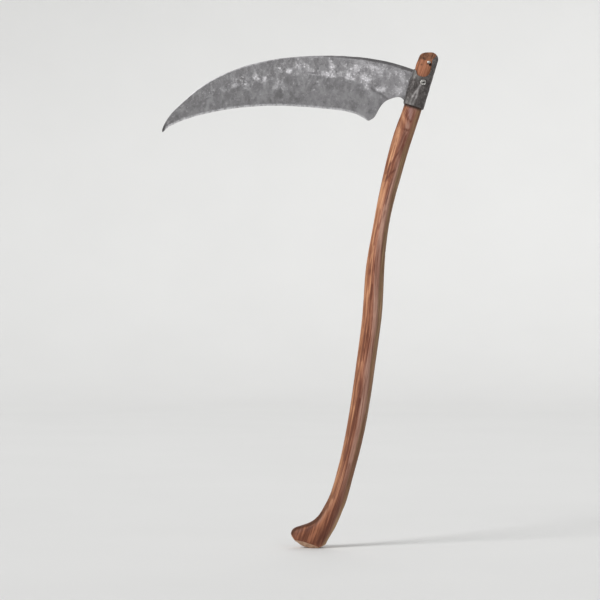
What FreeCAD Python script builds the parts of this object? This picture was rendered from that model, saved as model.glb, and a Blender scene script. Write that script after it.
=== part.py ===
import FreeCAD, Part
import math
import os
from FreeCAD import Placement, Rotation, Vector

# A long-hafted hand sickle that stands upright: a carved wooden haft with a flared butt,
# and a curved forged blade whose tang is held in the haft's head by an iron socket.
# All sizes are in millimetres. X runs to the right, away from the blade's tip, Y runs
# from the front to the back, and Z runs up. The origin is in the middle of the grip.

# Head of the haft: a straight length, leaning to the right.
HEAD_TILT = 16.7              # degrees from upright
HEAD_FOOT_X = 79.5            # middle of the socket's lower edge
HEAD_FOOT_Z = 438.4
HEAD_WIDTH = 29.4             # of the wood, left to right
HEAD_THICKNESS = 25.0         # of the wood, front to back
HEAD_SQUARENESS = 3.0         # 2 is an ellipse, more is squarer
HEAD_TOP_Z = 524.6            # the end is cut level between two rounded shoulders
HEAD_LEFT_SHOULDER = [(81.6, 500.0), (85.0, 508.0), (87.9, 515.0), (89.9, 519.6), (92.6, 522.3),
                      (96.6, 523.9), (101.0, HEAD_TOP_Z)]
HEAD_RIGHT_SHOULDER = [(109.0, HEAD_TOP_Z), (112.8, 523.5), (115.9, 521.0), (118.1, 517.0),
                       (119.3, 512.0), (119.7, 506.0), (119.8, 500.0)]
ROOF_TOP = 13.0               # front-to-back width left between the two end bevels
ROOF_DROP = 14.0              # height of each end bevel on the wood

# Iron socket with its back strap.
WALL = 2.4
SOCKET_FOOT = -0.5
SOCKET_LEFT_CORNER = 5.0      # rounding of the lower corners, seen from the front
SOCKET_RIGHT_CORNER = 1.6
STRAP_TOP = 95.0              # beyond the end of the head, before it is cut to length

# Tang, wedge and their mortise, measured from the head's axis and the socket's foot.
TANG_THICKNESS = 7.6
TANG_LOW = 13.0
TANG_HIGH = 46.0
TANG_TIP = 9.0
TANG_ROOT = -19.0             # inside the neck, left of the socket
WEDGE_OUT = 5.0               # wedge height at the mouth of the mortise
WEDGE_IN = 2.6                # and at its inner end
WEDGE_MOUTH = -13.6

# Rivet through the socket, and the nails at the strap's edge.
RIVET_ACROSS = 4.2
RIVET_ALONG = 40.0
RIVET_RADIUS = 2.6
RIVET_HEAD_RADIUS = 5.0
RIVET_HEAD_HEIGHT = 2.4
RIVET_TAIL = 0.5              # how far the peened end stands past its rove
ROVE_RADIUS = 5.2
ROVE_HEIGHT = 1.6
NAIL_ACROSS = 3.4
NAIL_FRONT_ALONG = 73.4
NAIL_BACK_ALONG = 65.5
NAIL_RADIUS = 1.4
NAIL_HEAD_RADIUS = 3.4
NAIL_HEAD_HEIGHT = 1.8
NAIL_DEPTH = 11.0

# Flanks of the haft below the head, from the shoulder down to the foot of the knob:
# left x and z, right x and z, front-to-back thickness, squareness.
HAFT_STATIONS = [
    (63.0, 435.0, 91.4, 426.5, 25.4, 2.9),
    (51.7, 404.8, 81.1, 395.2, 26.0, 2.6),
    (33.9, 339.2, 61.7, 331.8, 25.0, 2.4),
    (19.9, 274.1, 44.7, 268.9, 22.6, 2.3),
    (13.9, 241.5, 38.9, 237.3, 22.6, 2.3),
    (3.6, 176.5, 33.1, 174.1, 25.2, 2.3),
    (-1.2, 112.7, 30.0, 109.9, 26.8, 2.3),
    (-8.6, 49.4, 21.8, 45.2, 26.4, 2.3),
    (-22.2, -46.2, 7.2, -51.0, 25.6, 2.3),
    (-33.7, -109.6, -6.2, -115.6, 24.6, 2.3),
    (-45.4, -156.8, -19.2, -163.8, 23.8, 2.3),
    (-56.4, -189.0, -29.4, -198.2, 25.0, 2.3),
    (-65.4, -205.0, -38.0, -218.6, 27.0, 2.3),
    (-77.2, -220.8, -46.6, -237.8, 29.2, 2.4),
    (-91.8, -229.4, -55.2, -252.4, 30.4, 2.6),
    (-105.8, -233.6, -61.0, -264.0, 30.6, 2.8),
    (-114.2, -238.8, -64.5, -275.0, 30.0, 3.0),
    (-117.2, -250.0, -68.5, -286.0, 29.0, 3.0),
]
OVAL_POINTS = 16
SOLE_X = -81.3                # the butt is cut to an arc about this point
SOLE_Z = -228.6
SOLE_RADIUS = 38.9
SOLE_BEVEL = 8.4              # height of the bevel on the butt's front and back
SOLE_BEVEL_TILT = 17.8        # degrees that the bevels fall from the toe to the heel
SOLE_FLAT = 12.0              # front-to-back width left between the two bevels
BUTT_HALF_THICKNESS = 15.2

# Blade: at each x, the height of the spine, of the ridge between the forged face and the
# ground bevel, and of the cutting edge, then the thickness at the rib and at the ridge.
# The right-hand sections run on below the hooked heel, which the outline cuts away.
BLADE_STATIONS = [
    (-330.0, 398.0, 388.0, 376.0, 1.8, 1.7),
    (-300.0, 434.0, 424.0, 411.7, 2.4, 2.0),
    (-257.6, 470.4, 448.0, 426.4, 3.0, 2.5),
    (-200.0, 499.0, 469.0, 436.9, 3.5, 2.8),
    (-130.0, 515.6, 482.0, 440.2, 4.2, 3.0),
    (-60.0, 519.4, 487.0, 435.2, 5.0, 3.2),
    (-10.0, 517.4, 478.0, 424.6, 6.2, 3.6),
    (34.0, 511.0, 453.0, 408.0, 7.6, 5.0),
    (82.0, 496.5, 436.0, 392.0, 8.4, 7.4),
]
BACK_THICKNESS = 2.2          # flat of the spine between its two bevels
EDGE_THICKNESS = 0.6
RIB_SLOPE = 0.52              # half thickness lost per millimetre of height on the spine bevel
PLATE_MARGIN = 3.0            # how far each section runs past the outline

SPINE = [(-322.6, 399.4), (-315.4, 416.0), (-296.0, 438.6), (-257.6, 470.6), (-190.4, 502.6),
         (-94.4, 518.6), (-17.6, 518.0), (36.0, 510.6), (80.0, 497.2)]
EDGE = [(4.8, 417.0), (-8.0, 424.4), (-56.0, 434.5), (-132.8, 439.6), (-200.0, 436.2),
        (-257.6, 425.8), (-296.0, 413.2), (-321.4, 397.2)]
HEEL = [(11.6, 417.3), (17.3, 421.2), (20.6, 426.2), (24.4, 433.6), (29.4, 441.2), (35.6, 446.9),
        (43.8, 450.9), (52.0, 453.3), (58.6, 453.3), (63.4, 450.0), (67.4, 445.4)]
BEARD = (7.8, 415.7)          # lowest point of the heel's rounded corner

HEAD = Placement(Vector(HEAD_FOOT_X, 0, HEAD_FOOT_Z), Rotation(Vector(0, 1, 0), HEAD_TILT))


def on_front(x, z):
    """A point of the front plane."""
    return Vector(x, 0, z)


def on_head(shape):
    """Moves a shape from the head's own frame, across and along its axis, to its place."""
    placed = shape.copy()
    placed.transformShape(HEAD.toMatrix(), True)
    return placed


def signed_power(value, power):
    return math.copysign(abs(value) ** power, value)


def oval_wire(left, right, thickness, squareness):
    """A superellipse between two flank points, with its other axis front to back."""
    middle = (left + right) * 0.5
    half = (right - left) * 0.5
    points = []
    for step in range(OVAL_POINTS):
        angle = 2 * math.pi * step / OVAL_POINTS
        across = signed_power(math.cos(angle), 2 / squareness)
        depth = signed_power(math.sin(angle), 2 / squareness)
        points.append(middle + half * across + Vector(0, depth * thickness / 2, 0))
    curve = Part.BSplineCurve()
    steps = [step / OVAL_POINTS for step in range(OVAL_POINTS + 1)]
    curve.interpolate(Points=points, PeriodicFlag=True, Parameters=steps)
    return Part.Wire(curve.toShape())


def head_oval(along, growth=0.0):
    """A section of the head in its own frame, grown all round by a wall."""
    half = HEAD_WIDTH / 2 + growth
    thickness = HEAD_THICKNESS + 2 * growth
    return oval_wire(Vector(-half, 0, along), Vector(half, 0, along), thickness, HEAD_SQUARENESS)


def smooth_edge(points):
    """One smooth curve through points of the front plane."""
    curve = Part.BSplineCurve()
    curve.interpolate([on_front(x, z) for x, z in points])
    return curve.toShape()


def straight_edge(start, end):
    return Part.LineSegment(on_front(*start), on_front(*end)).toShape()


def corner_arc(centre, radius, side):
    """A lower corner's quarter circle, on the left (-1) or the right (1) of its centre."""
    x, z = centre
    slant = radius * math.sqrt(0.5)
    return Part.Arc(on_front(x + side * radius, z), on_front(x + side * slant, z - slant),
                    on_front(x, z - radius)).toShape()


def front_prism(wire, half_depth=40.0):
    """The solid that a closed wire of the front plane sweeps from front to back."""
    face = Part.Face(wire)
    face.translate(Vector(0, -half_depth, 0))
    return face.extrude(Vector(0, 2 * half_depth, 0))


def polygon_prism(points, direction):
    face = Part.Face(Part.makePolygon(points + points[:1]))
    return face.extrude(direction)


def head_end():
    """Everything under the level, round-shouldered, front-and-back-bevelled end of the head."""
    foot_z = HEAD_FOOT_Z - 60
    left_foot = (HEAD_FOOT_X - 70, foot_z)
    right_foot = (HEAD_FOOT_X + 60, foot_z)
    outline = Part.Wire(Part.__sortEdges__([
        smooth_edge(HEAD_LEFT_SHOULDER),
        straight_edge(HEAD_LEFT_SHOULDER[-1], HEAD_RIGHT_SHOULDER[0]),
        smooth_edge(HEAD_RIGHT_SHOULDER),
        straight_edge(HEAD_RIGHT_SHOULDER[-1], right_foot),
        straight_edge(right_foot, left_foot),
        straight_edge(left_foot, HEAD_LEFT_SHOULDER[0]),
    ]))
    slope = ROOF_DROP / ((HEAD_THICKNESS - ROOF_TOP) / 2)
    eave = 30.0
    eave_z = HEAD_TOP_Z - (eave - ROOF_TOP / 2) * slope
    start_x = HEAD_FOOT_X - 100
    roof = polygon_prism([
        Vector(start_x, -ROOF_TOP / 2, HEAD_TOP_Z),
        Vector(start_x, ROOF_TOP / 2, HEAD_TOP_Z),
        Vector(start_x, eave, eave_z),
        Vector(start_x, eave, foot_z),
        Vector(start_x, -eave, foot_z),
        Vector(start_x, -eave, eave_z),
    ], Vector(240, 0, 0))
    return front_prism(outline).common(roof)


def sole_waste():
    """What is cut away under the butt: its arc, and a flat slanting bevel on each side of it."""
    centre = Vector(SOLE_X, -40, SOLE_Z)
    block = Part.makeBox(160, 80, 90, Vector(SOLE_X - 80, -40, SOLE_Z - 102))
    waste = block.cut(Part.makeCylinder(SOLE_RADIUS, 80, centre, Vector(0, 1, 0)))
    slope = SOLE_BEVEL / (BUTT_HALF_THICKNESS - SOLE_FLAT / 2)
    reach = 22.0
    top = SOLE_BEVEL - SOLE_RADIUS + slope * (reach - BUTT_HALF_THICKNESS)
    for side in (-1, 1):
        wedge = polygon_prism([
            Vector(-60, side * SOLE_FLAT / 2, -SOLE_RADIUS),
            Vector(-60, side * reach, top),
            Vector(-60, side * reach, -SOLE_RADIUS - 20),
            Vector(-60, side * SOLE_FLAT / 2, -SOLE_RADIUS - 20),
        ], Vector(120, 0, 0))
        wedge.rotate(Vector(0, 0, 0), Vector(0, 1, 0), SOLE_BEVEL_TILT)
        wedge.translate(Vector(SOLE_X, 0, SOLE_Z))
        waste = waste.fuse(wedge)
    return waste


def make_wood():
    """The haft's outer form, before its mortise and holes."""
    wires = [on_head(head_oval(along)) for along in (STRAP_TOP, 60.0, 30.0, 8.0)]
    for left_x, left_z, right_x, right_z, thickness, squareness in HAFT_STATIONS:
        left = on_front(left_x, left_z)
        right = on_front(right_x, right_z)
        wires.append(oval_wire(left, right, thickness, squareness))
    body = Part.makeLoft(wires, True, False)
    body = body.cut(sole_waste())
    shoulder_z = HEAD_FOOT_Z - 50
    low = Part.makeBox(600, 100, 800, Vector(-300, -50, shoulder_z - 800))
    return body.common(head_end().fuse(low)).removeSplitter()


def tang_block(half_thickness):
    size = (TANG_TIP - TANG_ROOT, 2 * half_thickness, TANG_HIGH - TANG_LOW)
    return Part.makeBox(*size, Vector(TANG_ROOT, -half_thickness, TANG_LOW))


def make_tang_wedge():
    """The hardwood wedge under the tang, thicker at the mouth of the mortise."""
    half = TANG_THICKNESS / 2
    wedge = polygon_prism([
        Vector(WEDGE_MOUTH, -half, TANG_LOW),
        Vector(TANG_TIP, -half, TANG_LOW),
        Vector(TANG_TIP, -half, TANG_LOW - WEDGE_IN),
        Vector(WEDGE_MOUTH, -half, TANG_LOW - WEDGE_OUT),
    ], Vector(0, TANG_THICKNESS, 0))
    return on_head(wedge)


def pin(across, along, radius, start, end):
    """A round bar from front to back in the head's frame."""
    bar = Part.makeCylinder(radius, end - start, Vector(across, start, along), Vector(0, 1, 0))
    return on_head(bar)


def dome(across, along, radius, height, start, side):
    """A low dome with its foot at start, standing out to the front (-1) or the back (1)."""
    ball_radius = (radius ** 2 + height ** 2) / (2 * height)
    centre = Vector(across, start + side * (height - ball_radius), along)
    ball = Part.makeSphere(ball_radius, centre)
    inner = start - side * 1.0
    low = min(inner, start + side * height)
    stock = Part.makeCylinder(radius, height + 1.0, Vector(across, low, along), Vector(0, 1, 0))
    return on_head(stock.common(ball))


def rivet_bar():
    """The rivet's shank, from its head behind the socket to its peened end in front."""
    half = HEAD_THICKNESS / 2 + WALL
    return pin(RIVET_ACROSS, RIVET_ALONG, RIVET_RADIUS, -half - ROVE_HEIGHT - RIVET_TAIL, half)


def make_rivet(faces):
    half = HEAD_THICKNESS / 2 + WALL
    head = dome(RIVET_ACROSS, RIVET_ALONG, RIVET_HEAD_RADIUS, RIVET_HEAD_HEIGHT, half, 1)
    return rivet_bar().fuse(head.cut(faces)).removeSplitter()


def make_rove(faces):
    """The ring that the rivet's end is peened over, in front of the socket."""
    half = HEAD_THICKNESS / 2 + WALL
    ring = pin(RIVET_ACROSS, RIVET_ALONG, ROVE_RADIUS, -half - ROVE_HEIGHT, -half + 1.0)
    return ring.cut(rivet_bar()).cut(faces)


def nail_bar(along, side):
    """A nail's shank, driven from the front (-1) or the back (1) towards the middle."""
    surface = side * HEAD_THICKNESS / 2
    return pin(NAIL_ACROSS, along, NAIL_RADIUS, *sorted((surface, surface - side * NAIL_DEPTH)))


def nail_dome(along, side):
    surface = side * HEAD_THICKNESS / 2
    return dome(NAIL_ACROSS, along, NAIL_HEAD_RADIUS, NAIL_HEAD_HEIGHT, surface, side)


def make_socket(wood):
    """The sleeve round the foot of the head, in one piece with the strap up its right side."""
    sleeve = Part.Face(head_oval(SOCKET_FOOT, WALL)).extrude(Vector(0, 0, STRAP_TOP))
    side = HEAD_WIDTH / 2 + WALL + 0.4
    left_low = -side + SOCKET_LEFT_CORNER
    right_low = side - SOCKET_RIGHT_CORNER
    top_edge = smooth_edge([(-side, 57.0), (-12.6, 55.4), (-9.0, 49.6), (-3.0, 48.2), (4.0, 49.6),
                            (8.6, 54.2), (9.6, 62.0), (8.6, 74.0), (5.6, STRAP_TOP)])
    outline = Part.Wire(Part.__sortEdges__([
        top_edge,
        straight_edge((5.6, STRAP_TOP), (side, STRAP_TOP)),
        straight_edge((side, STRAP_TOP), (side, SOCKET_FOOT + SOCKET_RIGHT_CORNER)),
        corner_arc((right_low, SOCKET_FOOT + SOCKET_RIGHT_CORNER), SOCKET_RIGHT_CORNER, 1),
        straight_edge((right_low, SOCKET_FOOT), (left_low, SOCKET_FOOT)),
        corner_arc((left_low, SOCKET_FOOT + SOCKET_LEFT_CORNER), SOCKET_LEFT_CORNER, -1),
        straight_edge((-side, SOCKET_FOOT + SOCKET_LEFT_CORNER), (-side, 57.0)),
    ]))
    shell = on_head(sleeve.common(front_prism(outline)))
    return shell.common(head_end()).cut(wood)


def blade_section(x, spine, ridge, edge, rib_thickness, ridge_thickness):
    """The plate's closed section at one x: spine flat, spine bevel, forged face, ground bevel."""
    band = (rib_thickness - BACK_THICKNESS) / 2 / RIB_SLOPE
    back = min(BACK_THICKNESS, rib_thickness)
    half_side = [
        (back / 2, spine + PLATE_MARGIN),
        (back / 2, spine),
        (rib_thickness / 2, spine - max(band, 0.3)),
        (ridge_thickness / 2, ridge),
        (EDGE_THICKNESS / 2, edge),
        (EDGE_THICKNESS / 2, edge - PLATE_MARGIN),
    ]
    front = [Vector(x, -y, z) for y, z in half_side]
    rear = [Vector(x, y, z) for y, z in reversed(half_side)]
    return Part.makePolygon(front + rear + front[:1])


def make_blade(socket, wood):
    """The curved blade with its hooked heel, and its tang inside the head."""
    outline = Part.Wire(Part.__sortEdges__([
        smooth_edge(SPINE),
        straight_edge(SPINE[-1], HEEL[-1]),
        smooth_edge(HEEL),
        Part.Arc(on_front(*HEEL[0]), on_front(*BEARD), on_front(*EDGE[0])).toShape(),
        smooth_edge(EDGE),
        straight_edge(EDGE[-1], SPINE[0]),
    ]))
    plate = Part.makeLoft([blade_section(*row) for row in BLADE_STATIONS], True, False)
    plate = plate.common(front_prism(outline, 12.0)).cut(wood).cut(socket)
    plate = max(plate.Solids, key=lambda solid: solid.Volume)
    return plate.fuse(on_head(tang_block(TANG_THICKNESS / 2))).removeSplitter()


def build():
    """All the sub-parts, by name."""
    wood = make_wood()
    tang = on_head(tang_block(TANG_THICKNESS / 2))
    wedge = make_tang_wedge()
    socket = make_socket(wood)
    faces = socket.fuse(wood)
    haft = wood.cut(tang).cut(wedge).cut(rivet_bar())
    nails = []
    for along, side in ((NAIL_FRONT_ALONG, -1), (NAIL_BACK_ALONG, 1)):
        bar = nail_bar(along, side)
        head = nail_dome(along, side)
        nails.append(bar.fuse(head.cut(wood)).removeSplitter())
        haft = haft.cut(bar)
        socket = socket.cut(head)
    blade = make_blade(socket, wood)
    return {
        "haft": haft,
        "blade": blade.cut(rivet_bar()),
        "socket": socket.cut(tang).cut(rivet_bar()),
        "tang_wedge": wedge,
        "socket_rivet": make_rivet(faces),
        "rivet_rove": make_rove(faces),
        "head_nails": Part.makeCompound(nails),
    }


os.makedirs("parts", exist_ok=True)
for name, shape in build().items():
    box = shape.optimalBoundingBox()
    print(f"{name:14s} solids {len(shape.Solids)} valid {shape.isValid()} volume {shape.Volume:9.0f}"
          f"  x {box.XMin:7.1f} {box.XMax:7.1f}  y {box.YMin:6.1f} {box.YMax:6.1f}"
          f"  z {box.ZMin:7.1f} {box.ZMax:7.1f}")
    shape.exportStep(f"parts/{name}.step")
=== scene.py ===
import math

import bmesh
import bpy
import numpy as np
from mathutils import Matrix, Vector
from mathutils.bvhtree import BVHTree


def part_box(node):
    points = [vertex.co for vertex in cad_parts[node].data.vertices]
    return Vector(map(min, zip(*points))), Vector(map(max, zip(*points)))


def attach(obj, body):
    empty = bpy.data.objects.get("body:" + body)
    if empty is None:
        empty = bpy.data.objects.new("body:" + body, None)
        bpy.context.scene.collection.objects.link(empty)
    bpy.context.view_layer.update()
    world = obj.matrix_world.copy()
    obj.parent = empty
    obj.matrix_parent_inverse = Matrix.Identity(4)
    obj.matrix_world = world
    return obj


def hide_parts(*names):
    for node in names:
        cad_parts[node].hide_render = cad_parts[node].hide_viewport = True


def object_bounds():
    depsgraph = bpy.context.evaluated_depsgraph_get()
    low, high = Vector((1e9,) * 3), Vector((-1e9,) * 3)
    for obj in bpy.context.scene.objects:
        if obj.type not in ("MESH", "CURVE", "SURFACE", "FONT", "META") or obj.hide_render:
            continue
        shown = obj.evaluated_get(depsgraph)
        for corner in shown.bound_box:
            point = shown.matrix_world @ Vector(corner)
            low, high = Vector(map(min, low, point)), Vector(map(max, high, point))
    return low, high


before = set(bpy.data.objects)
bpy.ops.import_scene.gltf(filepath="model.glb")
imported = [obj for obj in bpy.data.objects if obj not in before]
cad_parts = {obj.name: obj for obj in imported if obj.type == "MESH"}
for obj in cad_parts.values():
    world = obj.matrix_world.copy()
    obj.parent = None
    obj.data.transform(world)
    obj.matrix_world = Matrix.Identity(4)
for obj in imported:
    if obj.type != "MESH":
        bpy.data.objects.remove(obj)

# Everything is in metres, in the CAD's frame: X to the right, away from the blade's tip,
# Y from the front to the back, Z up, with the origin in the middle of the haft's grip.

MM = 0.001
cad_low, cad_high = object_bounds()

# The head of the haft leans to the right. Its axis is placed from the rivet through it.
HEAD_TILT = math.radians(16.7)
RIVET_ACROSS = 4.2 * MM
RIVET_ALONG = 40.0 * MM
NAIL_ACROSS = 3.4 * MM
FRONT_NAIL_ALONG = 73.4 * MM
BACK_NAIL_ALONG = 65.5 * MM
SOCKET_HALF_WIDTH = 17.1 * MM

# The butt's sole is an arc about this point, seen from the front.
SOLE_CENTRE = np.array([-81.3, -228.6]) * MM
SOLE_RADIUS = 38.9 * MM


# ---------------- arrays and noise

def smooth_step(low, high, values):
    """0 below low, 1 above high, with a smooth change between. low may be above high."""
    t = np.clip((values - low) / (high - low), 0.0, 1.0)
    return t * t * (3.0 - 2.0 * t)


def step_mm(low, high, lengths):
    """smooth_step with its ends in millimetres."""
    return smooth_step(low * MM, high * MM, lengths)


def bell(distance, width):
    """1 at distance 0, 0.37 at width and almost 0 past twice that."""
    return np.exp(-(distance / width) ** 2)


def cell_noise(points, size, seed):
    """Smooth noise from -1 to 1 over points. size is its cells' size in millimetres, or one per axis."""
    table = np.random.default_rng(seed).uniform(-1.0, 1.0, (32, 32, 32))
    scaled = points / (np.asarray(size) * MM)
    base = np.floor(scaled).astype(int)
    part = scaled - base
    part = part * part * (3.0 - 2.0 * part)
    total = np.zeros(len(points))
    for corner in range(8):
        offset = np.array([corner & 1, corner >> 1 & 1, corner >> 2 & 1])
        weight = np.prod(np.where(offset == 1, part, 1.0 - part), axis=1)
        index = (base + offset) % 32
        total += weight * table[index[:, 0], index[:, 1], index[:, 2]]
    return total


def rough_noise(points, size, seed, octaves=3):
    """Noise with finer and finer detail added."""
    total = np.zeros(len(points))
    strength = 1.0
    for octave in range(octaves):
        total += strength * cell_noise(points, np.asarray(size) * 0.5 ** octave, seed + octave)
        strength *= 0.5
    return total


def dimples(points, centres, radii, depths):
    """Depth of shallow round hollows at points."""
    total = np.zeros(len(points))
    for centre, radius, depth in zip(centres, radii, depths):
        near = np.abs(points - centre).max(axis=1) < radius
        squared = ((points[near] - centre) ** 2).sum(axis=1) / radius ** 2
        total[near] += depth * np.clip(1.0 - squared, 0.0, 1.0) ** 1.5
    return total


def distance_to_line(points, line):
    """Distance of 2-D points to a polyline."""
    best = np.full(len(points), 1.0)
    for start, end in zip(line[:-1], line[1:]):
        along = end - start
        t = np.clip(((points - start) @ along) / (along @ along), 0.0, 1.0)
        gap = points - start - t[:, None] * along
        best = np.minimum(best, np.sqrt((gap ** 2).sum(axis=1)))
    return best


# ---------------- meshes

def read_points(mesh):
    flat = np.empty(len(mesh.vertices) * 3)
    mesh.vertices.foreach_get("co", flat)
    return flat.reshape(-1, 3)


def read_normals(mesh):
    flat = np.empty(len(mesh.vertices) * 3, np.float32)
    mesh.vertex_normals.foreach_get("vector", flat)
    return flat.reshape(-1, 3).astype(float)


def write_points(mesh, points):
    mesh.vertices.foreach_set("co", points.astype(np.float32).ravel())
    mesh.update()


def write_marks(mesh, **marks):
    """Keeps a number per point under each name, for the materials."""
    for name, values in marks.items():
        attribute = mesh.attributes.new(name, "FLOAT", "POINT")
        attribute.data.foreach_set("value", values.astype(np.float32))


def write_vector(mesh, name, values):
    attribute = mesh.attributes.new(name, "FLOAT_VECTOR", "POINT")
    attribute.data.foreach_set("vector", values.astype(np.float32).ravel())


def fix_normals(mesh, weld=0.0):
    """Turns faces outward, after joining points nearer than weld."""
    work = bmesh.new()
    work.from_mesh(mesh)
    if weld:
        bmesh.ops.remove_doubles(work, verts=work.verts, dist=weld)
    bmesh.ops.recalc_face_normals(work, faces=work.faces)
    work.to_mesh(mesh)
    work.free()


def ring_mesh(name, profile, place, segments, closed=False):
    """A round mesh. place turns a profile point's two numbers and an angle into x, y and z."""
    turns = [2 * math.pi * step / segments for step in range(segments)]
    points = [place(*corner, angle) for corner in profile for angle in turns]
    rings = len(profile)
    faces = []
    for ring in range(rings if closed else rings - 1):
        here = ring * segments
        following = (ring + 1) % rings * segments
        for step in range(segments):
            beside = (step + 1) % segments
            faces.append((here + step, here + beside, following + beside, following + step))
    mesh = bpy.data.meshes.new(name)
    mesh.from_pydata(points, [], faces)
    return mesh


def add_object(name, data):
    made = bpy.data.objects.new(name, data)
    bpy.context.scene.collection.objects.link(made)
    return made


def apply_modifiers(piece):
    """Replaces a piece's mesh with the result of its modifiers."""
    bpy.context.view_layer.update()
    graph = bpy.context.evaluated_depsgraph_get()
    made = bpy.data.meshes.new_from_object(piece.evaluated_get(graph))
    piece.modifiers.clear()
    piece.data = made


def remeshed_copy(node, name, voxel, smoothing):
    """A fine even mesh of a CAD node, with its edges slightly worn."""
    piece = add_object(name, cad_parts[node].data.copy())
    piece.data.materials.clear()
    remesh = piece.modifiers.new("remesh", "REMESH")
    remesh.mode = "VOXEL"
    remesh.voxel_size = voxel
    smooth = piece.modifiers.new("smooth", "SMOOTH")
    smooth.factor = 0.5
    smooth.iterations = smoothing
    apply_modifiers(piece)
    piece.data.shade_smooth()
    return piece


def finish_piece(piece, node, material):
    piece.data.materials.clear()
    piece.data.materials.append(material)
    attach(piece, "root")
    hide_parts(node)


# ---------------- the head's own axes

HEAD_UP = np.array([math.sin(HEAD_TILT), math.cos(HEAD_TILT)])
HEAD_RIGHT = np.array([math.cos(HEAD_TILT), -math.sin(HEAD_TILT)])
rivet_low, rivet_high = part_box("socket_rivet")
rivet = (rivet_low + rivet_high) / 2
HEAD_FOOT = np.array([rivet.x, rivet.z]) - RIVET_ACROSS * HEAD_RIGHT - RIVET_ALONG * HEAD_UP


def head_coordinates(points):
    """Across, front-to-back and along the axis of the haft's head."""
    flat = points[:, [0, 2]] - HEAD_FOOT
    return np.column_stack([flat @ HEAD_RIGHT, points[:, 1], flat @ HEAD_UP])


def from_head(across, along):
    """x and z of a point given across and along the head."""
    return HEAD_FOOT + across * HEAD_RIGHT + along * HEAD_UP


# ---------------- haft

GRAIN_LOW = -185 * MM          # the grain runs straight below here
GRAIN_HIGH = 440 * MM          # and above here
SHAFT_WIDTH = 30 * MM
ARRIS = 0.66                   # a long blunt edge of the shaft, from 0 at its left to 1 at its right
DENTS = 70
BUTT_TOP = -150 * MM           # the shaft swells into the butt between these heights
BUTT_FULL = -235 * MM
HEAD_BOTTOM = 450 * MM         # inside the socket
SOLE_CUT = -236 * MM           # the butt's sawn sole lies below here

# Long figure in the wood's front: strength (dark below 0, light above 0), half width,
# then x and z along it, in millimetres.
FIGURE = [
    (-0.80, 1.5, (63, 376), (52, 359), (43, 345), (36, 330)),
    (-0.60, 1.4, (50, 337), (42, 330), (34, 318)),
    (-0.45, 1.2, (45, 322), (38, 300), (33, 282)),
    (-0.80, 1.9, (33, 270), (26, 252), (21, 237), (17, 217)),
    (-0.35, 1.4, (13, 215), (10, 190), (8, 170)),
    (-0.75, 2.2, (14, 152), (8, 118), (4, 92), (0, 60), (-3, 34)),
    (-0.40, 1.5, (-2, 40), (-6, 8), (-8, -14)),
    (-0.80, 2.2, (-7, -30), (-12, -52), (-17, -72), (-24, -100), (-30, -126)),
    (-0.75, 2.5, (-24, -134), (-31, -158), (-38, -177), (-46, -204), (-54, -226), (-66, -246),
     (-74, -258)),
    (-0.60, 1.6, (-66, -210), (-72, -222), (-79, -230), (-90, -238)),
    (-0.60, 2.0, (-84, -226), (-93, -243), (-100, -256)),
    (-0.55, 1.8, (-99, -230), (-106, -244)),
    (0.55, 3.6, (57, 388), (50, 370), (44, 352)),
    (0.45, 2.6, (38, 316), (31, 292), (26, 276)),
    (0.40, 2.4, (24, 240), (17, 214), (10, 180)),
    (0.35, 2.2, (-3, 118), (-7, 84), (-10, 50)),
    (0.40, 3.0, (-27, -92), (-36, -128), (-49, -168), (-58, -188)),
    (0.95, 3.6, (-50, -191), (-55, -204), (-62, -217), (-71, -230), (-78, -242), (-86, -254)),
    (0.35, 2.0, (-91, -230), (-99, -246)),
    (0.28, 5.0, (57, 400), (39, 338), (25, 273), (19, 240), (11, 190)),
    (0.30, 4.5, (8, 165), (4, 112), (1, 95)),
    (-0.40, 8.0, (6, 66), (0, 30), (-6, -2), (-12, -32)),
    (0.30, 3.2, (31, 250), (26, 215), (21, 180), (18, 140), (15, 105)),
]
# The curl under the socket: a light tongue beside a mauve patch with a dark rim.
CURL = [
    (0.90, 2.8, (61, 430), (63, 419), (66, 412), (69.5, 405.5)),
    (-0.75, 1.5, (69, 432), (68.5, 424), (70, 417), (73.5, 413), (77, 415), (79, 422), (80, 431)),
    (-1.00, 1.7, (66, 401.5), (69, 399.5), (71.5, 401.5)),
    (-0.45, 2.6, (64, 401), (65, 394), (66, 384)),
    (0.70, 2.6, (54, 402), (55, 393), (56.5, 386), (52, 378)),
    (0.45, 2.4, (85, 430), (81.5, 414), (78, 402), (75, 390)),
]
MAUVE_EYE = [(1.0, 3.0, (74.5, 433), (74.5, 427), (74, 419))]
# Small pits in the head's front, and the hole the nail sits in, in millimetres: x, z, radius, depth.
HEAD_PITS = np.array([
    (95.7, 514.8, 3.1, 0.60), (92.2, 504.3, 2.8, 0.50), (98.6, 512.6, 2.0, 0.30),
    (87.2, 505.4, 1.8, 0.25), (104.6, 518.6, 2.2, 0.35), (106.3, 504.2, 3.0, 1.30),
    (101.4, 504.4, 2.0, 0.45),
])
PIT_FULL = 0.75 * MM           # a pit this deep is fully dark


def haft_outline(points):
    """Heights, and the haft's left and right at each of them."""
    heights = np.arange(points[:, 2].min() + 3 * MM, points[:, 2].max() - 2 * MM, 3 * MM)
    lefts = []
    rights = []
    for height in heights:
        near = points[np.abs(points[:, 2] - height) < 2 * MM, 0]
        lefts.append(near.min())
        rights.append(near.max())
    kernel = np.array([1, 2, 3, 2, 1]) / 9
    lefts = np.convolve(np.pad(lefts, 2, "edge"), kernel, "valid")
    rights = np.convolve(np.pad(rights, 2, "edge"), kernel, "valid")
    return heights, lefts, rights


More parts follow.
